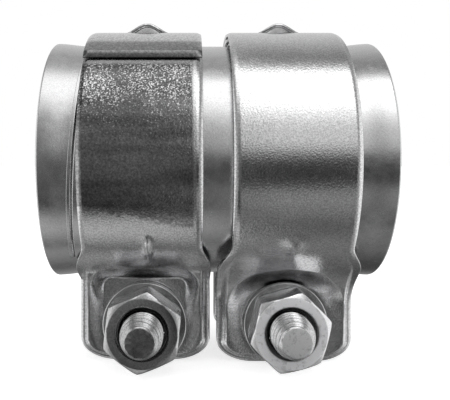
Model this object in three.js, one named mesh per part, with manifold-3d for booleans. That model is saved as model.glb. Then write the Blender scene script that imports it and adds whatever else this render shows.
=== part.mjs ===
// Double pipe repair clamp: a slotted sleeve that bridges two pipe ends, held by two band clamps.
// Millimetres, +Z up. The origin is the centre of the sleeve's bore, +X runs along the pipe, and
// the nuts face -Y. The right clamp's band is the left one turned half round the vertical.
import * as THREE from 'three';
import { mergeVertices } from 'three/addons/utils/BufferGeometryUtils.js';
import Module from 'manifold-3d';

const wasm = await Module();
wasm.setup();

// Sleeve
const SLEEVE_LENGTH = 80;
const SLEEVE_RADIUS = 29.6;
const SLEEVE_WALL = 1.5;
const FLARE_LENGTH = 7;
const FLARE_RISE = 0.7;
const SLOT_WIDTH = 4;

// Band clamps, from the liner outwards
const CLAMP_PITCH = 34.2;
const BAND_WIDTH = 27.8;
const SHEET = 1.05;
const LAYER_GAP = 0.3;
const LINER_SHEET = 0.5;
const LINER_WIDTH = 27;
const LINER_GAP_DEG = 80;
const LEFT_LINER = { shift: 2.6, skewDeg: 4 };
const RIGHT_LINER = { shift: 0.3, skewDeg: 0 };
const LINER_INNER = SLEEVE_RADIUS + LAYER_GAP;
const INNER_HALF_RADIUS = LINER_INNER + LINER_SHEET + LAYER_GAP;
const OUTER_HALF_RADIUS = INNER_HALF_RADIUS + SHEET + LAYER_GAP;
const INNER_HALF_LAP_DEG = 16;
const OUTER_HALF_LAP_DEG = 43;
const NIB_WIDTH = 10;
const NIB_LENGTH = 7;
const NIB_HEIGHT = 2.6;

// Drawn ears: a raised border round a flat seat, with a lip along the open edge
const EAR_WIDTH = 32.9;
const EAR_BOTTOM = -49.6;
const EAR_SHOULDER = -25;
const EAR_CORNER = 7;
const LIP = 1.1;
const LIP_FACE = 12.2;
const BORDER = 3.2;
const BORDER_TOP = -24;
const BORDER_FACE_TOP = 17.2;
const BORDER_FACE_BOTTOM = 14;
const SEAT_FACE = 13.3;
const SEAT_TOP = -28.5;
const SEAT_CORNER = 6;
const SEAT_RADIUS = 10.8;

// M10 bolt, washers and nut
const BOLT_HEIGHT = -40;
const BOLT_RADIUS = 4.9;
const BOLT_HOLE_RADIUS = 5.6;
const NUT_BORE_RADIUS = 5.1;
const WASHER_RADIUS = 10.2;
const WASHER_THICKNESS = 2;
const NUT_ACROSS_FLATS = 17;
const NUT_THICKNESS = 8;
const HEAD_THICKNESS = 6.4;
const BOLT_TIP_BEYOND_NUT = 7;
const TIP_CHAMFER = 1;
const SEAT_GAP = 0.3;
const LEFT_NUT_TURN_DEG = 7;
const RIGHT_NUT_TURN_DEG = 15;

const WASHER_BACK = SEAT_FACE + SEAT_GAP;
const NUT_BACK = WASHER_BACK + WASHER_THICKNESS + SEAT_GAP;
const BOLT_TIP = NUT_BACK + NUT_THICKNESS + BOLT_TIP_BEYOND_NUT;
const ARC_STEPS = 72;
const DEG = Math.PI / 180;

// ---- Solids -------------------------------------------------------------------------------

function toSolid(geometry) {
  const bare = geometry.index ? geometry.toNonIndexed() : geometry.clone();
  bare.deleteAttribute('normal');
  bare.deleteAttribute('uv');
  const welded = mergeVertices(bare, 1e-4);
  return new wasm.Manifold(new wasm.Mesh({
    numProp: 3,
    vertProperties: new Float32Array(welded.attributes.position.array),
    triVerts: new Uint32Array(welded.index.array),
  }));
}

function toGeometry(solid) {
  const mesh = solid.getMesh();
  const geometry = new THREE.BufferGeometry();
  geometry.setAttribute('position', new THREE.BufferAttribute(new Float32Array(mesh.vertProperties), 3));
  geometry.setIndex(new THREE.BufferAttribute(new Uint32Array(mesh.triVerts), 1));
  geometry.computeVertexNormals();
  return geometry;
}

function union(...solids) {
  return solids.reduce((sum, solid) => sum.add(solid));
}

// Extrudes a shape drawn in (Y, Z) along X, centred on X = 0.
function alongX(shape, length, curveSegments = 12) {
  const geometry = new THREE.ExtrudeGeometry(shape, { depth: length, bevelEnabled: false, curveSegments });
  geometry.translate(0, 0, -length / 2);
  const toYZ = new THREE.Matrix4().makeBasis(
    new THREE.Vector3(0, 1, 0),
    new THREE.Vector3(0, 0, 1),
    new THREE.Vector3(1, 0, 0),
  );
  geometry.applyMatrix4(toYZ);
  return toSolid(geometry);
}

// Extrudes a shape drawn in (X, Z) along Y, from one Y to another.
function alongY(shape, fromY, toY, curveSegments = 8) {
  const geometry = new THREE.ExtrudeGeometry(shape, {
    depth: toY - fromY,
    bevelEnabled: false,
    curveSegments,
  });
  geometry.rotateX(Math.PI / 2);
  geometry.translate(0, toY, 0);
  return toSolid(geometry);
}

function polygon(points) {
  return new THREE.Shape(points.map(([a, b]) => new THREE.Vector2(a, b)));
}

function circleShape(x, z, radius) {
  const shape = new THREE.Shape();
  shape.absarc(x, z, radius, 0, 2 * Math.PI, false);
  return shape;
}

function material(color, roughness, metalness = 1) {
  return new THREE.MeshStandardMaterial({ color, roughness, metalness });
}

function part(name, geometry, look) {
  const mesh = new THREE.Mesh(geometry, look);
  mesh.name = name;
  return mesh;
}

// ---- Sleeve and liners --------------------------------------------------------------------

function sleeve() {
  const half = SLEEVE_LENGTH / 2;
  const flareAt = (t) => FLARE_RISE * (1 - Math.cos(Math.PI * t)) / 2;
  const outer = [];
  for (let step = 0; step <= 4; step += 1) {
    const t = step / 4;
    outer.push(new THREE.Vector2(SLEEVE_RADIUS + flareAt(t), half - FLARE_LENGTH * (1 - t)));
  }
  const inner = outer.map((p) => new THREE.Vector2(p.x - SLEEVE_WALL, p.y)).reverse();
  const mirrored = (points) => points.map((p) => new THREE.Vector2(p.x, -p.y)).reverse();
  const section = [...mirrored(outer), ...outer, ...inner, ...mirrored(inner)];
  section.push(section[0].clone());
  const tube = new THREE.LatheGeometry(section, ARC_STEPS);
  tube.rotateZ(-Math.PI / 2);
  const slot = new THREE.BoxGeometry(SLEEVE_LENGTH + 2, SLOT_WIDTH, 2 * SLEEVE_WALL + 4);
  slot.translate(0, 0, -SLEEVE_RADIUS);
  return toSolid(tube).subtract(toSolid(slot));
}

// Annular sector in the (Y, Z) plane; angles run from +Z towards -Y, the nut side.
function sector(innerRadius, outerRadius, startDeg, endDeg) {
  const at = (radius, deg) => [-radius * Math.sin(deg * DEG), radius * Math.cos(deg * DEG)];
  const steps = Math.max(2, Math.round(Math.abs(endDeg - startDeg) * ARC_STEPS / 360));
  const degrees = Array.from({ length: steps + 1 }, (_, i) => startDeg + (endDeg - startDeg) * i / steps);
  const outer = degrees.map((deg) => at(outerRadius, deg));
  const inner = degrees.map((deg) => at(innerRadius, deg)).reverse();
  return polygon([...outer, ...inner]);
}

// Thin strip under a band, open at the bottom. A skewed one lies askew round the sleeve.
function liner(skewDeg) {
  const end = 180 - LINER_GAP_DEG / 2;
  const shell = alongX(sector(LINER_INNER, LINER_INNER + LINER_SHEET, -end, end), 2 * LINER_WIDTH);
  const half = LINER_WIDTH / 2;
  const reach = LINER_INNER + 2;
  const lean = reach * Math.tan(skewDeg * DEG);
  const outline = polygon([
    [half + lean, reach],
    [-half + lean, reach],
    [-half - lean, -reach],
    [half - lean, -reach],
  ]);
  return shell.intersect(alongY(outline, -reach, reach));
}

// ---- Band halves --------------------------------------------------------------------------

// Front outline of a half in (X, Z): band above, ear below, drawn inset from the lip's edge.
function earOutline(inset, top, corner) {
  const w = EAR_WIDTH / 2 - inset;
  const bottom = EAR_BOTTOM + inset;
  const shape = new THREE.Shape();
  shape.moveTo(-w, top);
  shape.lineTo(-w, bottom + corner);
  shape.absarc(-w + corner, bottom + corner, corner, Math.PI, 1.5 * Math.PI, false);
  shape.lineTo(w - corner, bottom);
  shape.absarc(w - corner, bottom + corner, corner, 1.5 * Math.PI, 2 * Math.PI, false);
  shape.lineTo(w, top);
  return shape;
}

function halfOutline() {
  const band = BAND_WIDTH / 2;
  const ear = EAR_WIDTH / 2;
  const bottom = EAR_BOTTOM;
  const shape = new THREE.Shape();
  shape.moveTo(band, 40);
  shape.lineTo(-band, 40);
  shape.lineTo(-band, EAR_SHOULDER + 6);
  shape.bezierCurveTo(-band, EAR_SHOULDER + 2, -ear, EAR_SHOULDER + 2, -ear, EAR_SHOULDER - 2);
  shape.lineTo(-ear, bottom + EAR_CORNER);
  shape.absarc(-ear + EAR_CORNER, bottom + EAR_CORNER, EAR_CORNER, Math.PI, 1.5 * Math.PI, false);
  shape.lineTo(ear - EAR_CORNER, bottom);
  shape.absarc(ear - EAR_CORNER, bottom + EAR_CORNER, EAR_CORNER, 1.5 * Math.PI, 2 * Math.PI, false);
  shape.lineTo(ear, EAR_SHOULDER - 2);
  shape.bezierCurveTo(ear, EAR_SHOULDER + 2, band, EAR_SHOULDER + 2, band, EAR_SHOULDER + 6);
  return shape;
}

// Wedge behind the ear's sloping border face, set back by the given depth.
function earBlock(depth) {
  const slope = (BORDER_FACE_TOP - BORDER_FACE_BOTTOM) / (BORDER_TOP - EAR_BOTTOM);
  const faceAt = (z) => -(BORDER_FACE_BOTTOM + slope * (z - EAR_BOTTOM)) + depth;
  const back = -LIP_FACE + SHEET;
  return alongX(polygon([
    [back, EAR_BOTTOM - 1],
    [back, -20],
    [faceAt(-20), -20],
    [faceAt(EAR_BOTTOM - 1), EAR_BOTTOM - 1],
  ]), EAR_WIDTH + 2);
}

// Flat-bottomed pocket for the washer, grown by a margin: a rounded rectangle and the washer's circle.
function seatPocket(margin, floorY) {
  const pocket = alongY(earOutline(LIP + BORDER - margin, SEAT_TOP + margin, SEAT_CORNER), -20, floorY);
  return pocket.add(alongY(circleShape(0, BOLT_HEIGHT, SEAT_RADIUS + margin), -20, floorY));
}

function drawnEar() {
  const back = -LIP_FACE + SHEET;
  const border = alongY(earOutline(LIP, -20, EAR_CORNER - LIP), -20, back);
  const cavity = alongY(earOutline(LIP + SHEET, -20, EAR_CORNER - LIP - SHEET), -20, back + 1);
  const pan = earBlock(0).intersect(border).subtract(earBlock(SHEET).intersect(cavity));
  const lip = alongY(earOutline(0, -20, EAR_CORNER), -LIP_FACE, back)
    .subtract(alongY(earOutline(LIP + SHEET, -19, EAR_CORNER - LIP - SHEET), -20, back + 1));
  const seatCup = seatPocket(SHEET, -SEAT_FACE + SHEET).intersect(earBlock(0));
  const pipeSide = alongX(circleShape(0, 0, INNER_HALF_RADIUS), EAR_WIDTH + 2, ARC_STEPS / 2);
  return union(pan, lip, seatCup).subtract(pipeSide);
}

// Pressed nib that locks the two layers at the top: a hood rising from the outer layer.
function nib(radius) {
  const profile = polygon([
    [-NIB_WIDTH / 2 - 3, radius - 0.6],
    [-1.6, radius + NIB_HEIGHT],
    [1.6, radius + NIB_HEIGHT],
    [NIB_WIDTH / 2 + 3, radius - 0.6],
  ].reverse());
  return alongY(profile, -NIB_LENGTH / 2, NIB_LENGTH / 2);
}

// One half of a band clamp, facing -Y: sector over the pipe, then the drawn ear.
function bandHalf(innerRadius, lapDeg) {
  const outerRadius = innerRadius + SHEET;
  const endDeg = 180 - Math.asin((BORDER_FACE_BOTTOM - 1) / outerRadius) / DEG;
  const band = alongX(sector(innerRadius, outerRadius, -lapDeg, endDeg), EAR_WIDTH);
  const boltHole = alongY(circleShape(0, BOLT_HEIGHT, BOLT_HOLE_RADIUS), -20, 0);
  return union(band, drawnEar())
    .intersect(alongY(halfOutline(), -40, 40))
    .subtract(seatPocket(0, -SEAT_FACE))
    .subtract(boltHole);
}

function outerHalf() {
  return bandHalf(OUTER_HALF_RADIUS, OUTER_HALF_LAP_DEG).add(nib(OUTER_HALF_RADIUS + SHEET));
}

function innerHalf() {
  return bandHalf(INNER_HALF_RADIUS, INNER_HALF_LAP_DEG);
}

// ---- Fasteners ----------------------------------------------------------------------------

function hexagon(acrossFlats, turnDeg) {
  const corner = acrossFlats / 2 / Math.cos(Math.PI / 6);
  const points = Array.from({ length: 6 }, (_, i) => {
    const angle = Math.PI / 2 + i * Math.PI / 3 - turnDeg * DEG;
    return [corner * Math.cos(angle), BOLT_HEIGHT + corner * Math.sin(angle)];
  });
  return polygon(points);
}

// Double cone that trims a hexagon's corners at 30 degrees on one or both faces.
function cornerTrim(acrossFlats, frontY, backY, trimBack) {
  const face = acrossFlats / 2 * 0.96;
  const corner = acrossFlats / 2 / Math.cos(Math.PI / 6) + 0.1;
  const fall = (corner - face) * Math.tan(30 * DEG);
  const profile = [
    new THREE.Vector2(0, frontY),
    new THREE.Vector2(face, frontY),
    new THREE.Vector2(corner, frontY + fall),
    new THREE.Vector2(corner, backY - (trimBack ? fall : 0)),
    new THREE.Vector2(trimBack ? face : corner, backY),
    new THREE.Vector2(0, backY),
  ].filter((point, i, all) => i === 0 || !point.equals(all[i - 1]));
  const geometry = new THREE.LatheGeometry(profile, 48);
  geometry.translate(0, 0, BOLT_HEIGHT);
  return toSolid(geometry);
}

function cylinderY(radius, fromY, toY, segments = 40) {
  const geometry = new THREE.CylinderGeometry(radius, radius, toY - fromY, segments);
  geometry.translate(0, (fromY + toY) / 2, BOLT_HEIGHT);
  return toSolid(geometry);
}

function ringY(outerRadius, innerRadius, fromY, toY) {
  return cylinderY(outerRadius, fromY, toY).subtract(cylinderY(innerRadius, fromY - 1, toY + 1));
}

function nut(turnDeg) {
  const front = -NUT_BACK - NUT_THICKNESS;
  const back = -NUT_BACK;
  const body = alongY(hexagon(NUT_ACROSS_FLATS, turnDeg), front, back)
    .intersect(cornerTrim(NUT_ACROSS_FLATS, front, back, true));
  return body.subtract(cylinderY(NUT_BORE_RADIUS, front - 1, back + 1));
}

function bolt() {
  const headBack = WASHER_BACK + WASHER_THICKNESS + SEAT_GAP;
  const head = alongY(hexagon(NUT_ACROSS_FLATS, 0), headBack, headBack + HEAD_THICKNESS);
  const shankProfile = [
    new THREE.Vector2(0, -BOLT_TIP),
    new THREE.Vector2(BOLT_RADIUS - TIP_CHAMFER, -BOLT_TIP),
    new THREE.Vector2(BOLT_RADIUS, -BOLT_TIP + TIP_CHAMFER),
    new THREE.Vector2(BOLT_RADIUS, headBack + 1),
    new THREE.Vector2(0, headBack + 1),
  ];
  const shank = new THREE.LatheGeometry(shankProfile, 40);
  shank.translate(0, 0, BOLT_HEIGHT);
  return head.add(toSolid(shank));
}

function washer() {
  return ringY(WASHER_RADIUS, NUT_BORE_RADIUS + 0.2, WASHER_BACK, WASHER_BACK + WASHER_THICKNESS);
}

// ---- Assembly -----------------------------------------------------------------------------

const zincBright = () => material(0xb9babb, 0.32);
const zincDull = () => material(0x8e9092, 0.4);

function bandClamp(side) {
  const isLeft = side === 'left';
  const clamp = new THREE.Group();
  clamp.position.x = (isLeft ? -1 : 1) * CLAMP_PITCH / 2;

  const band = new THREE.Group();
  band.rotation.z = isLeft ? 0 : Math.PI;
  const outer = part(`${side}_band_outer_half`, toGeometry(outerHalf()), zincBright());
  outer.rotation.z = Math.PI;
  const inner = part(`${side}_band_inner_half`, toGeometry(innerHalf()), zincBright());
  const { shift, skewDeg } = isLeft ? LEFT_LINER : RIGHT_LINER;
  const strip = part(`${side}_liner`, toGeometry(liner(skewDeg)), zincDull());
  strip.position.x = -shift;
  band.add(inner, outer, strip);

  const frontWasher = part(`${side}_nut_washer`, toGeometry(washer()), zincBright());
  frontWasher.rotation.z = Math.PI;
  clamp.add(
    band,
    part(`${side}_bolt`, toGeometry(bolt()), zincBright()),
    part(`${side}_head_washer`, toGeometry(washer()), zincBright()),
    frontWasher,
    part(`${side}_nut`, toGeometry(nut(isLeft ? LEFT_NUT_TURN_DEG : RIGHT_NUT_TURN_DEG)), zincBright()),
  );
  return clamp;
}

const repairClamp = new THREE.Group();
repairClamp.add(
  part('sleeve', toGeometry(sleeve()), zincDull()),
  bandClamp('left'),
  bandClamp('right'),
);

export default repairClamp;
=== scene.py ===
"""Looks of the double pipe repair clamp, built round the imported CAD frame.

Shapes are worked out in millimetres and turned into metres when a mesh is made. The pipe lies
along X, the nuts face -Y, and each band half is drawn facing -Y, then turned for the rear.
"""
import math

import bmesh
import bpy
import numpy as np
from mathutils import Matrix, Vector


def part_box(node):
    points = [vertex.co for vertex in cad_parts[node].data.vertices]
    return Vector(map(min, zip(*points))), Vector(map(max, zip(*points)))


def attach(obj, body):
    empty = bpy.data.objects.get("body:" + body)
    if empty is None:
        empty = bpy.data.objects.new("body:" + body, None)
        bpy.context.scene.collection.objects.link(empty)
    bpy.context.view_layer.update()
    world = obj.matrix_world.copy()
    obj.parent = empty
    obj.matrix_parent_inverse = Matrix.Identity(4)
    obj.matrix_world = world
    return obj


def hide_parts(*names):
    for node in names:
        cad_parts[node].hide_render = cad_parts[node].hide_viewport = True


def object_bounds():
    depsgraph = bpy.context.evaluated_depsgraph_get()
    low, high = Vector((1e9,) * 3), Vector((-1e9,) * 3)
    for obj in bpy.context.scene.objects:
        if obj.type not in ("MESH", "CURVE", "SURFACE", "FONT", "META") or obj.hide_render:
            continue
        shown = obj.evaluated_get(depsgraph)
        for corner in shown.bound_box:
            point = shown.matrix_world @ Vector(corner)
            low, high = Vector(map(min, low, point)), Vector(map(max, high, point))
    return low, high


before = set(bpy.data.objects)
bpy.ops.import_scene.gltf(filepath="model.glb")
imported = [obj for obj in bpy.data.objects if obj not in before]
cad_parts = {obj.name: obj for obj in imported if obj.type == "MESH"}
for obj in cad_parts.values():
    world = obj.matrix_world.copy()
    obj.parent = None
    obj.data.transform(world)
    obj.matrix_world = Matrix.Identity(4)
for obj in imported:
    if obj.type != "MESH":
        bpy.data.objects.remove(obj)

CAD_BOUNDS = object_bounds()
MM = 0.001
SIDES = ("left", "right")


def box_mm(node):
    """Lowest and highest corners of a CAD node, in millimetres."""
    low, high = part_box(node)
    return np.array(low) / MM, np.array(high) / MM


def middle_mm(node):
    """Middle of a CAD node's box, in millimetres."""
    low, high = box_mm(node)
    return (low + high) / 2


# ---- Sizes, taken from the frame and the sheet that the part is pressed from -----------------

SLEEVE_HIGH = box_mm("sleeve")[1]
SLEEVE_END = SLEEVE_HIGH[0] - 0.05
SLEEVE_WALL = 1.5
SLEEVE_EDGE = 0.45
SLOT_WIDTH = 4.0
FLARE_RISE = 0.7
FLARE_LENGTH = 9.0
FLARE_START = SLEEVE_HIGH[0] - FLARE_LENGTH
FINE_LENGTH = 1.3 * FLARE_LENGTH
SLEEVE_RADIUS = SLEEVE_HIGH[1] - FLARE_RISE

SHEET = 1.05
EDGE = 0.14
LAYER_GAP = 0.3
OUTER_HALF_RADIUS = CAD_BOUNDS[1][1] / MM
INNER_HALF_RADIUS = OUTER_HALF_RADIUS - SHEET - LAYER_GAP
INNER_LAP_DEG = 16
OUTER_LAP_DEG = 43
BAND_HALF_WIDTH = 13.9
ROLL_WIDTH = 1.4
ROLL_DROP = 0.42
ROLL_FADE = 5.0
LAP_TAPER = 1.3
LAP_DROP = 0.8
LAP_EDGE = 0.45

LINER_RADIUS = INNER_HALF_RADIUS - SHEET - LAYER_GAP
LINER_WIDTH = 27.0
LINER_SHEET = 0.5
LINER_THINNEST = 0.24
LINER_EDGE = 0.2
LINER_HALF_GAP_DEG = 40.0
BEAD_INSET = 1.0
BEAD_WIDTH = 0.2
BEAD_DEPTH = 0.28
BEAD_ZONE = 2.4

# The ear, from its shoulder under the band down to its bottom edge. A face is how far the outer
# side stands towards -Y from the pipe's axis.
EAR_LOW, EAR_HIGH = box_mm("left_band_outer_half")
EAR_HALF_WIDTH = (EAR_HIGH[0] - EAR_LOW[0]) / 2
EAR_BOTTOM = EAR_LOW[2]
EAR_SHOULDER = -25.0
SHOULDER_TOP = EAR_SHOULDER + 5.0
SHOULDER_LENGTH = 6.5
ROLL_END = EAR_SHOULDER + 1.0
CORNER_ACROSS = 9.0
CORNER_UP = 5.6
LIP_FACE = 12.2
LIP_FALL = 0.4
LIP_WIDTH = 1.1
BORDER_WIDTH = 3.2
BORDER_FACE = 14.5
BORDER_BEND = -35.0
BORDER_BLEND = 5.0
BORDER_LEAN = 0.34
BORDER_LOW_LEAN = 0.1
SEAT_FACE = 13.3
SEAT_RADIUS = 12.0
SEAT_STRAIGHT = 0.6
BOLT_HOLE_RADIUS = 5.6
GUSSET_TOP = -16.5
GUSSET_TOP_FADE = 3.5
GUSSET_FOOT = -26.0
GUSSET_FOOT_FADE = 5.0

# The nib: a bridge across the top of the outer half, slit from the sheet in front and behind.
NIB_REACH = 5.9
NIB_FLAT = 0.8
NIB_STRAIGHT = 0.45
NIB_ROUNDING = 0.3
NIB_ROUNDED_AT = 1.5
NIB_RISE = EAR_HIGH[2] - OUTER_HALF_RADIUS - 0.1
NIB_LENGTH = 7.0
SLIT_WIDTH = 0.2
SLIT_STEP = 0.35

WASHER_LOW, WASHER_HIGH = box_mm("left_nut_washer")
WASHER_RADIUS = (WASHER_HIGH[0] - WASHER_LOW[0]) / 2
WASHER_BORE = 5.3
WASHER_ROUNDING = 0.35
WASHER_BORE_EDGE = 0.15

ACROSS_FLATS = 17.0
FACE_RADIUS = 0.95 * ACROSS_FLATS / 2
CHAMFER_SLOPE = math.tan(math.radians(30))
HEX_EDGE = 0.12
HEX_CORNER_CUT = 0.18
HEX_CORNER_ZONE = 0.55
NUT_LOW, NUT_HIGH = box_mm("left_nut")
NUT_FRONT = NUT_LOW[1]
NUT_BACK = NUT_HIGH[1]
NUT_BORE = 5.05
NUT_SINK = 1.2
NUT_TURN_DEG = {"left": 7, "right": 15}

BOLT_LOW, BOLT_HIGH = box_mm("left_bolt")
BOLT_TIP = BOLT_LOW[1]
HEAD_TOP = BOLT_HIGH[1]
HEAD_THICKNESS = 6.4
HEAD_BACK = HEAD_TOP - HEAD_THICKNESS
HEAD_FILLET = 0.4
BOLT_HEIGHT = (WASHER_HIGH[2] + WASHER_LOW[2]) / 2
THREAD_RADIUS = 4.9
THREAD_PITCH = 1.5
THREAD_DEPTH = 0.92
THREAD_END = -4.0
TIP_RADIUS = 3.1
TIP_LENGTH = 4.5
TIP_EDGE = 0.7
TIP_DEPTH_SHARE = 0.75

CLAMP_X = {side: float(middle_mm(f"{side}_bolt")[0]) for side in SIDES}

# How finely the meshes are cut, in degrees, millimetres or steps.
UPPER_END_DEG = 118
UPPER_STEP_DEG = 1.1
LOWER_STEP_DEG = 0.42
CREASE_LEAD_DEG = 1.0
FLAT_STEP = 0.26
CORNER_STEP_DEG = 3
COLUMN_SPLIT = 0.42
HEX_STEPS = 24
TURN_STEPS = 72


# ---- Sheet metal: an outer side given as points, thickened, with rounded edges ----------------

def smoothstep(t):
    t = np.clip(t, 0, 1)
    return t * t * (3 - 2 * t)


def soft_slope(t, straight):
    """0 to 1 with rounded ends. straight is the share of it that is an even slope."""
    return straight * np.clip(t, 0, 1) + (1 - straight) * smoothstep(t)


def smooth_max(a, b, blend):
    """Larger of two heights, with a fillet where they differ by less than the blend."""
    overlap = np.maximum(blend - np.abs(a - b), 0) / blend
    return np.maximum(a, b) + overlap ** 3 * blend / 6


def grid_quads(rows, columns, keep=None):
    """Quads of a grid of points, anticlockwise where rows run down and columns run right."""
    i, j = np.meshgrid(np.arange(rows - 1), np.arange(columns - 1), indexing="ij")
    corner = i * columns + j
    quads = np.stack([corner, corner + columns, corner + columns + 1, corner + 1], axis=-1)
    return quads.reshape(-1, 4) if keep is None else quads[keep]


def vertex_normals(points, quads):
    a, b, c, d = (points[quads[:, k]] for k in range(4))
    face_normals = np.cross(c - a, d - b)
    normals = np.zeros_like(points)
    for k in range(4):
        np.add.at(normals, quads[:, k], face_normals)
    length = np.linalg.norm(normals, axis=1, keepdims=True)
    return normals / np.where(length > 0, length, 1)


def thicken(points, quads, thickness, edge):
    """Closed sheet under the given outer side. Every open edge, holes too, is rounded by edge.

    thickness and edge are one number or one for each point, thickness at least twice the edge.
    """
    normals = vertex_normals(points, quads)
    thickness = np.broadcast_to(thickness, len(points))[:, None]
    inner = points - thickness * normals
    directed = {(int(q[k]), int(q[(k + 1) % 4])) for q in quads for k in range(4)}
    border = sorted((a, b) for a, b in directed if (b, a) not in directed)
    outward = np.zeros_like(points)
    for a, b in border:
        side = np.cross(points[b] - points[a], normals[a] + normals[b])
        side /= np.linalg.norm(side)
        outward[a] += side
        outward[b] += side
    rim = sorted({a for a, _ in border})
    index = {vertex: k for k, vertex in enumerate(rim)}
    out = outward[rim] / np.linalg.norm(outward[rim], axis=1, keepdims=True)
    normal, top, bottom = normals[rim], points[rim], inner[rim]
    edge = np.broadcast_to(edge, len(points))[rim][:, None]

    rings = []
    turns = np.radians([30, 60, 90])
    for turn in turns:
        rings.append(top + edge * (math.sin(turn) * out - (1 - math.cos(turn)) * normal))
    for turn in turns[::-1]:
        rings.append(bottom + edge * (math.sin(turn) * out + (1 - math.cos(turn)) * normal))
    count = len(points)
    vertices = np.concatenate([points, inner, *rings])
    ring_start = [2 * count + k * len(rim) for k in range(len(rings))]

    def ring_vertex(level, vertex):
        if level == 0:
            return vertex
        if level == len(rings) + 1:
            return vertex + count
        return ring_start[level - 1] + index[vertex]

    rim_quads = [
        (ring_vertex(level, b), ring_vertex(level, a), ring_vertex(level + 1, a), ring_vertex(level + 1, b))
        for level in range(len(rings) + 1)
        for a, b in border
    ]
    faces = np.concatenate([quads, quads[:, ::-1] + count, np.array(rim_quads)])
    return vertices, faces


def make_piece(name, vertices, faces, material, body, node, sharp_deg=40):
    """A closed mesh object that rides on a body and stands for a CAD node."""
    mesh = bpy.data.meshes.new(name)
    mesh.from_pydata((np.asarray(vertices) * MM).tolist(), [], [list(map(int, f)) for f in faces])
    work = bmesh.new()
    work.from_mesh(mesh)
    bmesh.ops.delete(work, geom=[v for v in work.verts if not v.link_faces], context="VERTS")
    bmesh.ops.remove_doubles(work, verts=work.verts, dist=1e-7)
    bmesh.ops.recalc_face_normals(work, faces=work.faces)
    work.to_mesh(mesh)
    work.free()
    mesh.shade_smooth()
    mesh.set_sharp_from_angle(angle=math.radians(sharp_deg))
    mesh.materials.append(material)
    piece = bpy.data.objects.new(name, mesh)
    bpy.context.scene.collection.objects.link(piece)
    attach(piece, body)
    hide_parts(node)


# ---- Band halves ----------------------------------------------------------------------------

# How each half is pressed: the fillet between band and ear, where the band starts to run straight
# into it, the widths of the wall and seat slopes, the seat's top and corners, the gusset, the nib.
CRISP = {"blend": 1.2, "bend_face": 14.0, "wall": 1.2, "seat_wall": 3.2, "seat_top": -27.6,
         "seat_corner": 3.6, "gusset": 1.1, "gusset_x": 1.4, "gusset_width": 0.9,
         "gusset_power": 1.2, "nib": False}
SOFT = {"blend": 7.0, "bend_face": 20.0, "wall": 1.4, "seat_wall": 4.6, "seat_top": -28.4,
        "seat_corner": 9.5, "gusset": 0.7, "gusset_x": 0.0, "gusset_width": 2.4,
        "gusset_power": 2, "nib": True}
FRONT = {
    "left": {"ear_half": 16.0, "bottom": EAR_BOTTOM},
    "right": {"ear_half": 16.75, "bottom": EAR_BOTTOM - 0.5},
}
REAR = {"ear_half": EAR_HALF_WIDTH, "bottom": EAR_BOTTOM}


def half_width(z, look, inset=0.0):
    """Half the width of a band half at height z, inset from its outline: band, shoulder, ear, corner."""
    shoulder = smoothstep((SHOULDER_TOP - z) / SHOULDER_LENGTH)
    width = BAND_HALF_WIDTH + (look["ear_half"] - BAND_HALF_WIDTH) * shoulder - inset
    across, up = CORNER_ACROSS - inset, CORNER_UP - inset
    into_corner = np.clip(look["bottom"] + CORNER_UP - z, 0, up) / up
    return width - across + across * np.sqrt(1 - into_corner ** 2)


def ear_inset(x, z, look):
    """How far a point of the ear lies inside its outline, whose lower corners are quarter ellipses."""
    side = half_width(np.maximum(z, look["bottom"] + CORNER_UP), look) - np.abs(x)
    bottom = z - look["bottom"]
    over_x = np.maximum(CORNER_ACROSS - side, 0)
    over_z = np.maximum(CORNER_UP - bottom, 0)
    share = np.maximum(np.hypot(over_x / CORNER_ACROSS, over_z / CORNER_UP), 1e-6)
    corner = np.hypot(over_x, over_z) * (1 / share - 1)
    return np.where((over_x > 0) & (over_z > 0), corner, np.minimum(side, bottom))


def seat_depth(x, z, look):
    """How far a point lies inside the seat pocket: a rounded rectangle joined with a circle."""
    inset = LIP_WIDTH + BORDER_WIDTH
    half = look["ear_half"] - inset
    corner = look["seat_corner"]
    middle = (look["seat_top"] + look["bottom"] + inset) / 2
    tall = (look["seat_top"] - look["bottom"] - inset) / 2
    over_x = np.abs(x) - half + corner
    over_z = np.abs(z - middle) - tall + corner
    outside = np.hypot(np.maximum(over_x, 0), np.maximum(over_z, 0))
    rectangle = corner - outside - np.minimum(np.maximum(over_x, over_z), 0)
    circle = SEAT_RADIUS - np.hypot(x, z - BOLT_HEIGHT)
    return np.maximum(rectangle, circle)


def ear_face(x, z, look):
    """How far the ear's outer side stands towards -Y: rounded lip, then a leaning border."""
    above = z - BORDER_BEND
    border = BORDER_FACE + BORDER_LEAN * smooth_max(above, BORDER_LOW_LEAN * above, BORDER_BLEND)
    inset = ear_inset(x, z, look)
    lip = LIP_FACE - LIP_FALL * np.clip(1 - inset / LIP_WIDTH, 0, 1) ** 2
    return lip + (border - LIP_FACE) * smoothstep((inset - LIP_WIDTH) / look["wall"])


def press_seat(face, x, z, look):
    """Presses the flat seat for the washer into the ear's outer side."""
    pressed = soft_slope(seat_depth(x, z, look) / look["seat_wall"] + 0.5, SEAT_STRAIGHT)
    return face + (np.minimum(face, SEAT_FACE) - face) * pressed


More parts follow.
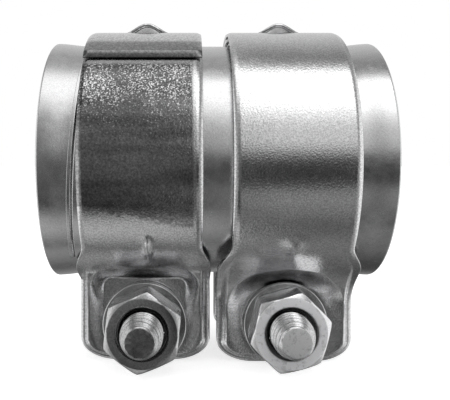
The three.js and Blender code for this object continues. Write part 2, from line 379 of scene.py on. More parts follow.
def lower_face(x, z, radius, roll, look):
    """How far the outer side stands towards -Y below the axis: band, gusset, ear and its seat."""
    bend_face = look["bend_face"]
    bend = -math.sqrt(radius ** 2 - bend_face ** 2)
    curved = np.sqrt(np.maximum((radius - roll) ** 2 - z ** 2, 0))
    straight = bend_face - bend / bend_face * (z - bend)
    band = np.where(z < bend, straight, curved)
    off_gusset = np.abs((x - look["gusset_x"]) / look["gusset_width"])
    fade = smoothstep((z - GUSSET_FOOT) / GUSSET_FOOT_FADE)
    fade = fade * smoothstep((GUSSET_TOP - z) / GUSSET_TOP_FADE)
    gusset = look["gusset"] * np.exp(-off_gusset ** look["gusset_power"]) * fade
    face = smooth_max(band, ear_face(x, z, look), look["blend"]) + gusset
    return press_seat(face, x, z, look)


def nib_rise(x):
    """Height of the pressed bridge at the top: straight flanks, rounded at the foot and the peak."""
    flank = (NIB_REACH - np.abs(x)) / (NIB_REACH - NIB_FLAT)
    return NIB_RISE * soft_slope(flank, NIB_STRAIGHT)


def even_steps(start, end, size):
    """Places from start, left out, to end in even steps of about the given size."""
    count = max(1, round(abs(end - start) / size))
    return [start + (end - start) * (k + 1) / count for k in range(count)]


def row_places(radius, lap_deg, look):
    """Angles of the rows round the pipe, then heights of the rows down the ear."""
    crease = 180 - math.degrees(math.asin(LIP_FACE / radius)) - CREASE_LEAD_DEG
    start = -lap_deg + math.degrees(EDGE / radius)
    stops = [start, UPPER_END_DEG]
    if look["nib"]:
        slit = math.degrees(NIB_LENGTH / 2 / radius)
        gap = math.degrees((2 * EDGE + SLIT_WIDTH) / radius)
        stops = [start, -slit - gap, -slit, slit, slit + gap, UPPER_END_DEG]
    angles = [start]
    for low, high in zip(stops, stops[1:]):
        angles += even_steps(low, high, UPPER_STEP_DEG)
    angles += even_steps(UPPER_END_DEG, crease, LOWER_STEP_DEG)
    crease_z = radius * math.cos(math.radians(crease))
    corner_z = look["bottom"] + CORNER_UP
    round_turns = np.radians(np.arange(CORNER_STEP_DEG, 91, CORNER_STEP_DEG))
    heights = even_steps(crease_z, corner_z, FLAT_STEP)
    heights += list(corner_z - (CORNER_UP - EDGE) * np.sin(round_turns))
    return angles, heights


def column_places():
    """Places across a half, from -1 to 1, close together near the edges."""
    near = np.linspace(0, COLUMN_SPLIT, 27)
    middle = np.linspace(COLUMN_SPLIT, 1, 33)[1:]
    half = 1 - np.concatenate([near, middle])
    return np.concatenate([-half, half[::-1][1:]])


def half_sheet(radius, lap_deg, look):
    """Outer side of a band half facing -Y, thickened. look holds how its crease, walls and nib are."""
    angles, heights = row_places(radius, lap_deg, look)
    across = column_places()
    z_rows = np.concatenate([radius * np.cos(np.radians(angles)), heights])
    theta = np.full((len(z_rows), 1), math.pi)
    theta[:len(angles), 0] = np.radians(angles)
    inner_width = half_width(z_rows, look, EDGE)[:, None]
    x = across[None, :] * inner_width
    z = np.repeat(z_rows[:, None], len(across), axis=1)

    roll = ROLL_DROP * np.clip(1 - (inner_width - np.abs(x)) / ROLL_WIDTH, 0, 1) ** 2
    roll = roll * smoothstep((z - ROLL_END) / ROLL_FADE)
    from_lap = (theta + math.radians(lap_deg)) * radius - EDGE
    lap = LAP_DROP * smoothstep(1 - from_lap / LAP_TAPER)
    drop = np.minimum(roll + lap, LAP_DROP)
    rise = np.zeros_like(x)
    if look["nib"]:
        on_bridge = np.abs(np.degrees(theta)) <= math.degrees(NIB_LENGTH / 2 / radius) + 1e-6
        rise = np.where(on_bridge, nib_rise(x), 0)

    reach = radius - drop + rise
    upper = theta < math.pi / 2
    y = np.where(upper, -reach * np.sin(theta), -lower_face(x, z, radius, roll, look))
    z = np.where(upper, reach * np.cos(theta), z)
    points = np.stack([x, y, z], axis=-1)

    centre = (points[:-1, :-1] + points[1:, :-1] + points[:-1, 1:] + points[1:, 1:]) / 4
    from_bolt = np.hypot(centre[..., 0], centre[..., 2] - BOLT_HEIGHT)
    hole = (centre[..., 2] < EAR_SHOULDER) & (from_bolt < BOLT_HOLE_RADIUS)
    step = np.abs(np.diff(rise, axis=0))
    slit = np.minimum(step[:, 1:], step[:, :-1]) > SLIT_STEP
    quads = grid_quads(len(z_rows), len(across), ~hole & ~slit)
    flat = points.reshape(-1, 3)
    snap_to_hole(flat, quads, grid_quads(len(z_rows), len(across), hole))
    thickness = np.maximum(SHEET - drop, LAP_EDGE)
    rounding = EDGE + NIB_ROUNDING * smoothstep(rise / NIB_ROUNDED_AT)
    return thicken(flat, quads, thickness.reshape(-1), rounding.reshape(-1))


def snap_to_hole(points, kept, removed):
    """Moves the points on the edge of the bolt hole out to its circle."""
    edge = np.intersect1d(np.unique(kept), np.unique(removed))
    x, z = points[edge, 0], points[edge, 2] - BOLT_HEIGHT
    reach = np.hypot(x, z)
    points[edge, 0] = x * (BOLT_HOLE_RADIUS + EDGE) / reach
    points[edge, 2] = BOLT_HEIGHT + z * (BOLT_HOLE_RADIUS + EDGE) / reach


def add_band(side, materials):
    """Both halves of a clamp. The left outer half is at the rear, the right one at the front."""
    for half, radius, lap, press in (
        ("outer", OUTER_HALF_RADIUS, OUTER_LAP_DEG, SOFT),
        ("inner", INNER_HALF_RADIUS, INNER_LAP_DEG, CRISP),
    ):
        at_front = (half == "outer") == (side == "right")
        place = FRONT[side] if at_front else REAR
        vertices, faces = half_sheet(radius, lap, {**press, **place})
        if not at_front:
            vertices = vertices * (-1, -1, 1)
        vertices = vertices + (CLAMP_X[side], 0, 0)
        node = f"{side}_band_{half}_half"
        make_piece(f"{node}_sheet", vertices, faces, materials[half], f"{side}_band", node)


# ---- Sleeve and liners ------------------------------------------------------------------------

def add_sleeve(material):
    """Rolled tube with a slot at the bottom and flared, rounded ends."""
    finer_to_the_end = 1 - np.cos(np.linspace(0, math.pi / 2, 20))
    ends = SLEEVE_END - SLEEVE_EDGE - FINE_LENGTH * finer_to_the_end
    middle = np.linspace(-ends[-1], ends[-1], 60)[1:-1]
    x = np.concatenate([-ends, middle, ends[::-1]])
    along = np.clip((np.abs(x) - FLARE_START) / FLARE_LENGTH, 0, 1)
    radius = SLEEVE_RADIUS + FLARE_RISE * (1 - np.cos(math.pi * along)) / 2
    slot = math.asin((SLOT_WIDTH / 2 + SLEEVE_EDGE) / SLEEVE_RADIUS)
    turn = np.linspace(-math.pi + slot, math.pi - slot, 241)
    points = np.stack([
        np.repeat(x[None, :], len(turn), axis=0),
        -np.sin(turn)[:, None] * radius[None, :],
        np.cos(turn)[:, None] * radius[None, :],
    ], axis=-1)
    quads = grid_quads(len(turn), len(x))
    vertices, faces = thicken(points.reshape(-1, 3), quads, SLEEVE_WALL, SLEEVE_EDGE)
    make_piece("sleeve_tube", vertices, faces, material, "sleeve", "sleeve")


def add_liner(side, material):
    """Thin strip under a band with a bead along both edges. Its lean comes from its CAD node."""
    node = f"{side}_liner"
    low, high = box_mm(node)
    lean = (high[0] - low[0] - LINER_WIDTH) / (2 * LINER_RADIUS)
    half = LINER_WIDTH / 2 - LINER_EDGE
    beaded = np.linspace(-half, -half + BEAD_ZONE, 22)
    plain = np.linspace(-half + BEAD_ZONE, half - BEAD_ZONE, 24)[1:-1]
    across = np.concatenate([beaded, plain, -beaded[::-1]])
    from_bead = half - np.abs(across) - BEAD_INSET
    groove = BEAD_DEPTH * np.exp(-(from_bead / BEAD_WIDTH) ** 2)
    gap = math.radians(LINER_HALF_GAP_DEG) + LINER_EDGE / LINER_RADIUS
    turn = np.linspace(-math.pi + gap, math.pi - gap, 161)
    radius = LINER_RADIUS - groove
    y = -np.sin(turn)[:, None] * radius[None, :]
    z = np.cos(turn)[:, None] * radius[None, :]
    x = middle_mm(node)[0] + across[None, :] + lean * z
    points = np.stack([x, y, z], axis=-1)
    quads = grid_quads(len(turn), len(across))
    thickness = np.tile(np.maximum(LINER_SHEET - groove, LINER_THINNEST), len(turn))
    vertices, faces = thicken(points.reshape(-1, 3), quads, thickness, 0.55 * LINER_EDGE)
    make_piece(f"{node}_strip", vertices, faces, material, node, node)


# ---- Fasteners --------------------------------------------------------------------------------

def revolve(outline, centre, profile_at):
    """Closed ring along Y: profile_at(angle) gives the (radius, y) points of its section there."""
    sections = [profile_at(angle) for angle in outline]
    count = len(sections[0])
    vertices = [
        (centre[0] + radius * math.cos(angle), y, centre[1] + radius * math.sin(angle))
        for angle, profile in zip(outline, sections)
        for radius, y in profile
    ]
    faces = []
    for k in range(len(outline)):
        here, after = k * count, (k + 1) % len(outline) * count
        for m in range(count):
            faces.append((here + m, here + (m + 1) % count, after + (m + 1) % count, after + m))
    return np.array(vertices), faces


def hexagon_reach(angle, turn_deg):
    """Distance from the centre to a hexagon's outline, its corners a little rounded."""
    folded = (angle - math.radians(90 - turn_deg)) % (math.pi / 3) - math.pi / 6
    reach = ACROSS_FLATS / 2 / np.cos(folded)
    corner = ACROSS_FLATS / 2 / math.cos(math.pi / 6)
    return reach - HEX_CORNER_CUT * smoothstep(1 - (corner - reach) / HEX_CORNER_ZONE)


def outline_angles(turn_deg):
    """Angles round a hexagon, with one at each corner."""
    start = math.radians(90 - turn_deg)
    return [start + k * math.pi / 3 / HEX_STEPS for k in range(6 * HEX_STEPS)]


def nut_profile(angle, turn_deg):
    """Section of a nut from its bore round the front, the side and the back."""
    reach = float(hexagon_reach(angle, turn_deg))
    fall = (reach - FACE_RADIUS) * CHAMFER_SLOPE
    front_half = [
        (NUT_BORE, NUT_SINK),
        (NUT_BORE + NUT_SINK - HEX_EDGE, HEX_EDGE),
        (NUT_BORE + NUT_SINK + HEX_EDGE, 0),
        (FACE_RADIUS - HEX_EDGE, 0),
        (FACE_RADIUS + HEX_EDGE, 0.4 * HEX_EDGE),
        (reach - HEX_EDGE, fall - 0.5 * HEX_EDGE),
        (reach, fall + HEX_EDGE),
    ]
    front = [(radius, NUT_FRONT + inward) for radius, inward in front_half]
    back = [(radius, NUT_BACK - inward) for radius, inward in front_half[::-1]]
    return front + back


def add_nut(side, material):
    turn = NUT_TURN_DEG[side]
    centre = (CLAMP_X[side], BOLT_HEIGHT)
    vertices, faces = revolve(outline_angles(turn), centre, lambda angle: nut_profile(angle, turn))
    make_piece(f"{side}_nut_hex", vertices, faces, material, f"{side}_nut", f"{side}_nut", 24)


def add_washer(side, node, body, material):
    low, high = box_mm(node)
    front, back = low[1], high[1]
    rounded = WASHER_RADIUS - WASHER_ROUNDING
    turns = [(math.sin(t), math.cos(t)) for t in np.radians([0, 30, 60, 90])]
    profile = [
        (WASHER_BORE, back - WASHER_BORE_EDGE),
        (WASHER_BORE, front + WASHER_BORE_EDGE),
        (WASHER_BORE + WASHER_BORE_EDGE, front),
    ]
    profile += [(rounded + WASHER_ROUNDING * sin, front + WASHER_ROUNDING * (1 - cos)) for sin, cos in turns]
    profile += [(rounded + WASHER_ROUNDING * cos, back - WASHER_ROUNDING * (1 - sin)) for sin, cos in turns]
    profile.append((WASHER_BORE + WASHER_BORE_EDGE, back))
    outline = np.radians(np.arange(0, 360, 3))
    vertices, faces = revolve(outline, (CLAMP_X[side], BOLT_HEIGHT), lambda angle: profile)
    make_piece(f"{node}_ring", vertices, faces, material, body, node)


# Depth of the groove at each row of one pitch, as a share: flat crest, flank, root, flank.
THREAD_GROOVE = np.array([0, 0, 0.18, 0.4, 0.62, 0.84, 1, 0.84, 0.62, 0.4, 0.18, 0])


def thread_rows():
    """Rows of (radius, y) for each angle. They follow the helix, so that its crests stay sharp."""
    length = THREAD_END - BOLT_TIP
    rows = (int(length / THREAD_PITCH) + 3) * len(THREAD_GROOVE)
    i = np.arange(rows)[:, None]
    j = np.arange(TURN_STEPS)[None, :]
    along = THREAD_PITCH * (i / len(THREAD_GROOVE) - 1 + j / TURN_STEPS)
    along = np.clip(along, 0, length)
    runout = smoothstep((length - along) / THREAD_PITCH)
    into_tip = np.clip(along / TIP_LENGTH, 0, 1)
    crest = TIP_RADIUS + (THREAD_RADIUS - TIP_RADIUS) * np.sqrt(into_tip)
    share = TIP_DEPTH_SHARE + (1 - TIP_DEPTH_SHARE) * into_tip
    depth = THREAD_DEPTH * share * smoothstep(along / TIP_EDGE) * runout
    return crest - depth * THREAD_GROOVE[i % len(THREAD_GROOVE)], BOLT_TIP + along


def head_rows():
    """Rows of (radius, y) for each angle, from the shank to the middle of the head's top."""
    even = np.ones(TURN_STEPS)
    reach = hexagon_reach(2 * np.pi * np.arange(TURN_STEPS) / TURN_STEPS, 0)
    fall = (reach - FACE_RADIUS) * CHAMFER_SLOPE
    return [
        (THREAD_RADIUS * even, THREAD_END * even),
        (THREAD_RADIUS * even, (HEAD_BACK - HEAD_FILLET) * even),
        ((THREAD_RADIUS + 0.3 * HEAD_FILLET) * even, (HEAD_BACK - 0.3 * HEAD_FILLET) * even),
        ((THREAD_RADIUS + HEAD_FILLET) * even, HEAD_BACK * even),
        ((FACE_RADIUS - HEX_EDGE) * even, HEAD_BACK * even),
        (reach - HEX_EDGE, HEAD_BACK * even),
        (reach, (HEAD_BACK + HEX_EDGE) * even),
        (reach, HEAD_TOP - fall - HEX_EDGE),
        (reach - HEX_EDGE, HEAD_TOP - fall + 0.5 * HEX_EDGE),
        ((FACE_RADIUS + HEX_EDGE) * even, (HEAD_TOP - 0.4 * HEX_EDGE) * even),
        ((FACE_RADIUS - HEX_EDGE) * even, HEAD_TOP * even),
        (0.0 * even, HEAD_TOP * even),
    ]


def add_bolt(side, material):
    """Bolt in one closed mesh: flat tip, threaded end, plain shank and hexagon head."""
    radius, y = thread_rows()
    threads = len(radius)
    tip = (np.zeros(TURN_STEPS), np.full(TURN_STEPS, BOLT_TIP))
    rows = list(zip(radius, y)) + head_rows() + [tip]
    angles = 2 * np.pi * np.arange(TURN_STEPS) / TURN_STEPS
    vertices = np.concatenate([
        np.stack([CLAMP_X[side] + r * np.cos(angles), h, BOLT_HEIGHT + r * np.sin(angles)], axis=-1)
        for r, h in rows
    ])

    def at(row, column):
        """A point's number. Past the last column, a row of the thread goes on one turn further up."""
        if column < TURN_STEPS:
            return row * TURN_STEPS + column
        on_helix = row < threads
        turned = min(row + len(THREAD_GROOVE), threads - 1)
        return turned * TURN_STEPS if on_helix else row * TURN_STEPS

    order = range(len(rows) - 1)
    pairs = list(zip(order, order[1:])) + [(len(rows) - 1, 0)]
    faces = [
        (at(low, j), at(low, j + 1), at(high, j + 1), at(high, j))
        for low, high in pairs
        for j in range(TURN_STEPS)
    ]
    make_piece(f"{side}_bolt_m10", vertices, faces, material, f"{side}_bolt", f"{side}_bolt", 28)


# ---- Node trees -------------------------------------------------------------------------------

class Nodes:
    """Adds nodes to a tree. A value is a number, a colour or the output of another node."""

    def __init__(self, tree):
        self.nodes = tree.nodes
        self.links = tree.links

    def add(self, kind):
        return self.nodes.new(f"ShaderNode{kind}")

    def join(self, value, socket):
        if isinstance(value, bpy.types.NodeSocket):
            self.links.new(value, socket)
        else:
            socket.default_value = value

    def maths(self, operation, *values):
        node = self.add("Math")
        node.operation = operation
        for value, socket in zip(values, node.inputs):
            self.join(value, socket)
        return node.outputs[0]

    def product(self, first, *others):
        for other in others:
            first = self.maths("MULTIPLY", first, other)
        return first

    def largest(self, first, *others):
        for other in others:
            first = self.maths("MAXIMUM", first, other)
        return first

    def mix(self, factor, a, b):
        node = self.add("Mix")
        node.data_type = "RGBA"
        self.join(factor, node.inputs["Factor"])
        self.join(a, node.inputs["A"])
        self.join(b, node.inputs["B"])
        return node.outputs["Result"]

    def spread(self, value, span, levels, curve="LINEAR"):
        """Goes from one level to the other while the value crosses the span, and is even outside."""
        node = self.add("MapRange")
        node.interpolation_type = curve
        node.inputs["From Min"].default_value, node.inputs["From Max"].default_value = span
        node.inputs["To Min"].default_value, node.inputs["To Max"].default_value = levels
        self.join(value, node.inputs["Value"])
        return node.outputs["Result"]

    def axes(self, place):
        node = self.add("SeparateXYZ")
        self.join(place, node.inputs[0])
        return node.outputs


# ---- Materials --------------------------------------------------------------------------------

# Noises: cells per metre, and levels of finer detail.
GRAIN = (2300, 3)
SPECKS = (3000, 2)
MOTTLE = (520, 4)
CLOUDS = (75, 3)
WEAR = (900, 5)
SHADE_BLOTCHES = (1600, 5)
DUST = (2600, 6)
PATCHES = (160, 3)
RAGGED = (900, 4)
STREAKS = (260, 5)
FINE_STREAKS = (1900, 5)
STREAK_STRETCH = 0.12

# Spans of a noise: nearly all of its values, and the middle ones.
NEARLY_ALL = (0.3, 0.7)
MOST = (0.35, 0.65)

# Sizes and places of what is painted, in millimetres: the reach of painted shade from a
# crevice, then heights on the bands (the slant is height lost per width), and the depth of a
# face with a painted shade.
CREVICE_SHADE_REACH = 0.6
DRAWN_SPAN = (-24, -18)
# Heights of the strip of painted shade at the lap's edge.
STRIP_LOW = 24.0
STRIP_HIGH = 27.7
# Where the front half's painted shade lies and how dark it gets, in millimetres.
FRONT_SHADE_LOW_SPAN = (-16.6, -14.6)
FRONT_SHADE_HIGH_SPAN = (21.3, 22.2)
FRONT_SHADE_SLANT = 0.18
FRONT_SHADE_DEPTH_SPAN = (-2, 16)
DUSTY_SPAN = (2, 22)
BRIGHT_EDGE = CLAMP_X["left"] + BAND_HALF_WIDTH - 2
FACE_SKIN = (0.15, 0.05)


class Zinc(Nodes):
    """Bright zinc plate: fine grain in the bump, mottled tone and roughness, specks, painted crevice shade.

    tone is the lightest grey, and grain the height of the bump. mottle and speck are how much
    mottles and specks darken it. The shade in crevices is painted from ambient occlusion; its tuple
    is (openness with full shade, openness with none, that shade).
    """

    def __init__(self, name, tone, rough, grain, mottle, speck, crevice_shade=(0.3, 0.75, 0.35)):
        self.material = bpy.data.materials.new(name)
        self.material.use_nodes = True
        super().__init__(self.material.node_tree)
        self.tone, self.rough, self.grain = tone, rough, grain
        self.place = self.add("TexCoord").outputs["Object"]
        self.x, self.y, self.z = (self.maths("MULTIPLY", axis, 1 / MM) for axis in self.axes(self.place))
        middle = self.noise(MOTTLE)
        # Painted shade: ambient occlusion darkens the colour in crevices, grooves and gaps between parts.
        crevice = self.add("AmbientOcclusion")
        crevice.inputs["Distance"].default_value = CREVICE_SHADE_REACH * MM
        crevice.samples = 8
        full, none, shade = crevice_shade
        self.shade = self.product(
            self.spread(middle, NEARLY_ALL, (1 - mottle, 1)),
            self.spread(self.noise(CLOUDS), NEARLY_ALL, (1 - mottle, 1)),
            self.spread(self.noise(SPECKS), (0.35, 0.62), (1 - speck, 1)),
            self.spread(crevice.outputs["AO"], (full, none), (shade, 1)),
        )
        self.roughness = self.spread(middle, NEARLY_ALL, (0.8 * rough, 1.25 * rough))

    def noise(self, cells, place=None):
        """A noise in the material, over the object's own coordinates or another place."""
        node = self.add("TexNoise")
        node.inputs["Scale"].default_value, node.inputs["Detail"].default_value = cells
        self.join(place or self.place, node.inputs["Vector"])
        return node.outputs["Fac"]

    def shade_by(self, *shares):
        self.shade = self.product(self.shade, *shares)

    def roughen_by(self, rise):
        self.roughness = self.maths("ADD", self.roughness, rise)

    def finish(self):
        """Joins the shade, the roughness and the grain to the shader, and returns the material."""
        shader = self.nodes["Principled BSDF"]
        lightest = (self.tone, self.tone, 1.01 * self.tone, 1)
        self.join(self.mix(self.shade, (0, 0, 0, 1), lightest), shader.inputs["Base Color"])
        self.join(self.roughness, shader.inputs["Roughness"])
        bump = self.add("Bump")
        bump.inputs["Strength"].default_value = 1
        bump.inputs["Distance"].default_value = self.grain * MM
        self.join(self.noise(GRAIN), bump.inputs["Height"])
        self.join(bump.outputs["Normal"], shader.inputs["Normal"])
        shader.inputs["Metallic"].default_value = 1
        return self.material


def roughen_ears(paint, rise):
    """The drawn ears are rougher than the rolled band."""
    paint.roughen_by(paint.spread(paint.z, DRAWN_SPAN, (rise, 0)))


def shade_lap_edge(paint):
    """Painted shade: a blotchy, darker strip at the height of the lap's edge, with a painted shadow line at
    its foot.
    """
    below = paint.spread(paint.z, (STRIP_LOW - 1, STRIP_LOW), (1, 0))
    above = paint.spread(paint.z, (STRIP_HIGH, STRIP_HIGH + 0.8), (0, 1))
    strip = paint.spread(paint.largest(below, above), (0, 1), (0.55, 1))
    shade_blotches = paint.spread(paint.noise(SHADE_BLOTCHES), MOST, (0.75, 1.2))
    foot = paint.spread(paint.z, (STRIP_LOW + 1.1, STRIP_LOW + 1.6), (0.45, 1))
    paint.shade_by(strip, shade_blotches, paint.largest(below, foot))


def dust_specks(paint):
    """Bright specks in patches, which thin out downwards. 1 in a speck, and 0 between them."""
    patches = paint.spread(paint.noise(PATCHES), NEARLY_ALL, (-0.05, 0.05))
    dust = paint.maths("ADD", paint.noise(DUST), patches)
    limit = paint.spread(paint.z, DUSTY_SPAN, (0.6, 0.48))
    return paint.spread(paint.maths("SUBTRACT", dust, limit), (-0.02, 0.16), (0, 1))


def streaks_along_pipe(paint):
    """Shares of light and dark streaks, drawn out along the pipe."""
    stretch = paint.add("Mapping")
    stretch.inputs["Scale"].default_value = (STREAK_STRETCH, 1, 1)
    paint.join(paint.place, stretch.inputs["Vector"])
    streaks = paint.spread(paint.noise(STREAKS, stretch.outputs["Vector"]), MOST, (0.7, 1.35))
    return paint.product(streaks, paint.spread(paint.noise(FINE_STREAKS), MOST, (0.75, 1.3)))


def shade_front_half(paint):
    """Painted shade on a front half: the zinc is darkened between a slanted ragged edge and the lap,
    as far as the bright edge, darkest towards the top, in place of a darker reflection. Bright dust
    specks in it stay unshaded.

    The right clamp lies past the bright edge, so its half stays unshaded.
    """
    slanted = paint.maths("ADD", paint.z, paint.product(paint.x, FRONT_SHADE_SLANT))
    ragged = paint.maths("ADD", slanted, paint.spread(paint.noise(RAGGED), NEARLY_ALL, (-1, 1)))
    unshaded = paint.largest(
        paint.spread(ragged, FRONT_SHADE_LOW_SPAN, (1, 0)),
        dust_specks(paint),
        paint.spread(paint.z, FRONT_SHADE_HIGH_SPAN, (0, 0.65)),
        paint.spread(paint.x, (BRIGHT_EDGE - 0.8, BRIGHT_EDGE), (0, 1)),
    )
    # Painted shade, darkest towards the top and streaked along the pipe.
    front_shade = paint.product(paint.spread(paint.z, FRONT_SHADE_DEPTH_SPAN, (0.5, 0.12)), streaks_along_pipe(paint))
    paint.shade_by(paint.largest(unshaded, front_shade))


def shade_nut_recess(paint, side, shade):
    """Painted shade: a nut's sunk rim is darkened round the thread, where shade falls in the recess."""
    across = paint.maths("SUBTRACT", paint.x, CLAMP_X[side])
    up = paint.maths("SUBTRACT", paint.z, BOLT_HEIGHT)
    squares = paint.maths("ADD", paint.product(across, across), paint.product(up, up))
    rim = NUT_BORE + NUT_SINK
    paint.shade_by(paint.spread(paint.maths("SQRT", squares), (rim - 0.2, rim + 0.1), (shade, 1)))


def shade_and_wear_face(paint, y, shade, rough):
    """A flat front face at y gets a painted shade, standing in for how it catches the light, with worn
    mottling in it and its own roughness.
    """
    on_face = paint.spread(paint.y, (y + FACE_SKIN[0], y + FACE_SKIN[1]), (0, 1))
    worn_face_shade = paint.spread(paint.noise(WEAR), (0.35, 0.6), (0.75 * shade, shade))
    off_face = paint.maths("SUBTRACT", 1, on_face)
    paint.shade_by(paint.maths("ADD", off_face, paint.product(on_face, worn_face_shade)))
    paint.roughen_by(paint.product(on_face, rough - paint.rough))


def sleeve_zinc():
    return Zinc("sleeve_zinc", tone=0.78, rough=0.22, grain=0.012, mottle=0.08, speck=0.12).finish()


# The right outer half, with no painted shade.
def unshaded_band_zinc():
    paint = Zinc("band_zinc", tone=0.9, rough=0.13, grain=0.038, mottle=0.07, speck=0.3)
    roughen_ears(paint, 0.1)
    return paint.finish()


# The left outer half, with painted shade along its lap's edge.
def lap_shaded_band_zinc():
    paint = Zinc("lap_shaded_zinc", tone=0.9, rough=0.13, grain=0.03, mottle=0.07, speck=0.3)
    roughen_ears(paint, 0.1)
    shade_lap_edge(paint)
    return paint.finish()


# Inner halves, with painted shade on the left clamp's front half.
def front_shaded_band_zinc():
    paint = Zinc("front_shaded_zinc", tone=0.9, rough=0.14, grain=0.03, mottle=0.1, speck=0.3)
    roughen_ears(paint, 0.06)
    shade_front_half(paint)
    return paint.finish()


# The liner's beads and edges get deep painted shade from ambient occlusion.
def liner_zinc():
    return Zinc("liner_zinc", tone=0.8, rough=0.25, grain=0.012, mottle=0.12, speck=0.1,
                crevice_shade=(0.6, 0.92, 0.06)).finish()


def washer_zinc():
    return Zinc("washer_zinc", tone=0.7, rough=0.2, grain=0.006, mottle=0.12, speck=0.15).finish()


# The two nuts are one zinc. The left one is given a darker tone as painted shade, and the right one a
# lighter tone and a lighter face as painted light.
def left_nut_zinc():
    paint = Zinc("left_nut_zinc", tone=0.72, rough=0.17, grain=0.01, mottle=0.14, speck=0.2)
    shade_nut_recess(paint, "left", 0.45)
    return paint.finish()


def right_nut_zinc():
    paint = Zinc("right_nut_zinc", tone=0.98, rough=0.2, grain=0.01, mottle=0.08, speck=0.1)
    shade_nut_recess(paint, "right", 0.3)
    shade_and_wear_face(paint, NUT_FRONT, 1.3, 0.85)
    return paint.finish()


# The two bolts are one zinc. The left one is given a darker tone and a darker tip as painted shade, and the
# right one a lighter tone and a lighter tip as painted light.
def left_bolt_zinc():
    paint = Zinc("left_bolt_zinc", tone=0.62, rough=0.2, grain=0.01, mottle=0.15, speck=0.25)
    shade_and_wear_face(paint, BOLT_TIP, 0.75, 0.3)
    return paint.finish()


def right_bolt_zinc():
    paint = Zinc("right_bolt_zinc", tone=0.75, rough=0.2, grain=0.01, mottle=0.15, speck=0.25)
    shade_and_wear_face(paint, BOLT_TIP, 1.5, 0.75)
    return paint.finish()


# ---- Stage: camera, floor, studio -------------------------------------------------------------

CAMERA_PLACE = (-6.9, -161.9, -0.6)
CAMERA_LENS = 48.46
CAMERA_SENSOR = 36
CAMERA_SHIFT = 0.0853
FLOOR_HALF = 6.0
FLOOR_GREY = 0.85
FLOOR_GLOW = 0.7

# Brightness of the studio round the pipe's axis: degrees up from the camera side, over the top.
# Metal on the left of the camera mirrors the first room, metal on the right the second.
LEFT_STUDIO = (
    (-180, 0.55), (-128, 0.1), (-97, 0.35), (-88, 0.12), (-78, 0.34), (-69, 0.5), (-58, 0.46),
    (-50, 0.18), (-44, 0.05), (-36, 0.06), (-28, 0.09), (-16, 0.12), (-1, 0.15), (14, 0.22),
    (30, 0.32), (40, 0.45), (46, 0.65), (54, 0.95), (63, 1.4), (84, 1.45), (92, 0.8), (100, 0.5),
    (120, 0.45), (128, 0.6), (180, 0.8),
)
RIGHT_STUDIO = (
    (-180, 0.55), (-135, 0.06), (-117, 0.07), (-103, 0.11), (-92, 0.17), (-78, 0.2), (-70, 0.17),
    (-62, 0.12), (-55, 0.13), (-44, 0.22), (-35, 0.27), (-27, 0.25), (-22, 0.07), (-14, 0.04),
    (-4, 0.05), (1, 0.12), (8, 0.42), (12, 0.7), (26, 0.74), (33, 0.95), (42, 1.3), (48, 1.8),
    (80, 1.8), (86, 0.5), (92, 0.3), (101, 0.25), (114, 0.42), (130, 0.6), (180, 0.8),
)
# Where the two rooms meet, and where they give way to the even ends and sides, as the X of a
# direction. The ends and sides have one brightness each.
ROOM_SPAN = (-0.04, 0.13)
END_SPAN = (0.32, 0.52)
END_LEVEL = 0.36
SIDE_SPAN = (0.62, 0.8)
SIDE_LEVEL = 1.0


def grey(level):
    return (level, level, level, 1)


def add_camera():
    """The photograph's viewpoint: level, close in front of the clamps, a little left of the middle."""
    data = bpy.data.cameras.new("camera")
    data.lens = CAMERA_LENS
    data.sensor_width = CAMERA_SENSOR
    data.shift_x = CAMERA_SHIFT
    data.shift_y = -CAMERA_SHIFT
    data.clip_start = 0.01
    camera = bpy.data.objects.new("camera", data)
    camera.location = np.array(CAMERA_PLACE) * MM
    camera.rotation_euler = (math.pi / 2, 0, 0)
    bpy.context.scene.collection.objects.link(camera)
    bpy.context.scene.camera = camera


def add_floor():
    """Pale floor under the clamps, which the metal doesn't mirror. The studio's bands take its place."""
    low = CAD_BOUNDS[0][2]
    mesh = bpy.data.meshes.new("floor")
    corners = [(x * FLOOR_HALF, y * FLOOR_HALF, low) for x, y in ((-1, -1), (1, -1), (1, 1), (-1, 1))]
    mesh.from_pydata(corners, [], [(0, 1, 2, 3)])
    material = bpy.data.materials.new("floor_paper")
    material.use_nodes = True
    shader = material.node_tree.nodes["Principled BSDF"]
    shader.inputs["Base Color"].default_value = grey(FLOOR_GREY)
    shader.inputs["Roughness"].default_value = 0.9
    shader.inputs["Specular IOR Level"].default_value = 0
    shader.inputs["Emission Color"].default_value = grey(1)
    shader.inputs["Emission Strength"].default_value = FLOOR_GLOW
    mesh.materials.append(material)
    floor = bpy.data.objects.new("floor", mesh)
    floor.visible_glossy = False
    bpy.context.scene.collection.objects.link(floor)


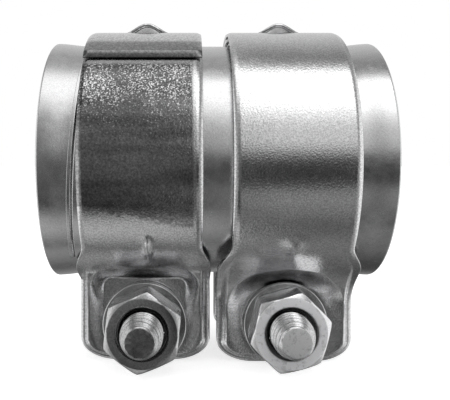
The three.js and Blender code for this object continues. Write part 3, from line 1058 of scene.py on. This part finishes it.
def studio_ramp(tree, levels, place):
    """Brightness round the pipe, where place runs from 0 to 1 over -180 to 180 degrees."""
    node = tree.add("ValToRGB")
    tree.join(place, node.inputs["Fac"])
    stops = node.color_ramp.elements
    stops.remove(stops[-1])
    for k, (degrees, level) in enumerate(levels):
        position = degrees / 360 + 0.5
        stop = stops[0] if k == 0 else stops.new(position)
        stop.position = position
        stop.color = grey(level)
    return node.outputs["Color"]


def add_studio():
    """World light: white to the camera, and long soft boxes parallel to the pipe to everything else."""
    world = bpy.data.worlds.new("studio")
    bpy.context.scene.world = world
    world.use_nodes = True
    tree = Nodes(world.node_tree)
    tree.nodes.clear()
    x, y, z = tree.axes(tree.add("TexCoord").outputs["Generated"])
    turn = tree.maths("ARCTAN2", z, tree.product(y, -1))
    place = tree.maths("ADD", tree.product(turn, 1 / (2 * math.pi)), 0.5)
    sideways = tree.maths("ABSOLUTE", x)

    def step(value, span):
        return tree.spread(value, span, (0, 1), curve="SMOOTHSTEP")

    left = studio_ramp(tree, LEFT_STUDIO, place)
    right = studio_ramp(tree, RIGHT_STUDIO, place)
    room = tree.mix(step(x, ROOM_SPAN), left, right)
    room = tree.mix(step(sideways, END_SPAN), room, grey(END_LEVEL))
    room = tree.mix(step(sideways, SIDE_SPAN), room, grey(SIDE_LEVEL))
    seen = tree.add("LightPath").outputs["Is Camera Ray"]
    background = tree.add("Background")
    tree.join(tree.mix(seen, room, grey(1)), background.inputs["Color"])
    tree.join(background.outputs[0], tree.add("OutputWorld").inputs["Surface"])
    bpy.context.scene.view_settings.view_transform = "Standard"


# ---- Build ------------------------------------------------------------------------------------

add_camera()
add_floor()
add_studio()

tube_finish = sleeve_zinc()
liner_finish = liner_zinc()
washer_finish = washer_zinc()
front_shaded = front_shaded_band_zinc()
band_finish = {
    "left": {"outer": lap_shaded_band_zinc(), "inner": front_shaded},
    "right": {"outer": unshaded_band_zinc(), "inner": front_shaded},
}
nut_finish = {"left": left_nut_zinc(), "right": right_nut_zinc()}
bolt_finish = {"left": left_bolt_zinc(), "right": right_bolt_zinc()}

add_sleeve(tube_finish)
for side in SIDES:
    add_band(side, band_finish[side])
    add_liner(side, liner_finish)
    add_washer(side, f"{side}_nut_washer", f"{side}_nut_washer", washer_finish)
    add_washer(side, f"{side}_head_washer", f"{side}_bolt", washer_finish)
    add_nut(side, nut_finish[side])
    add_bolt(side, bolt_finish[side])
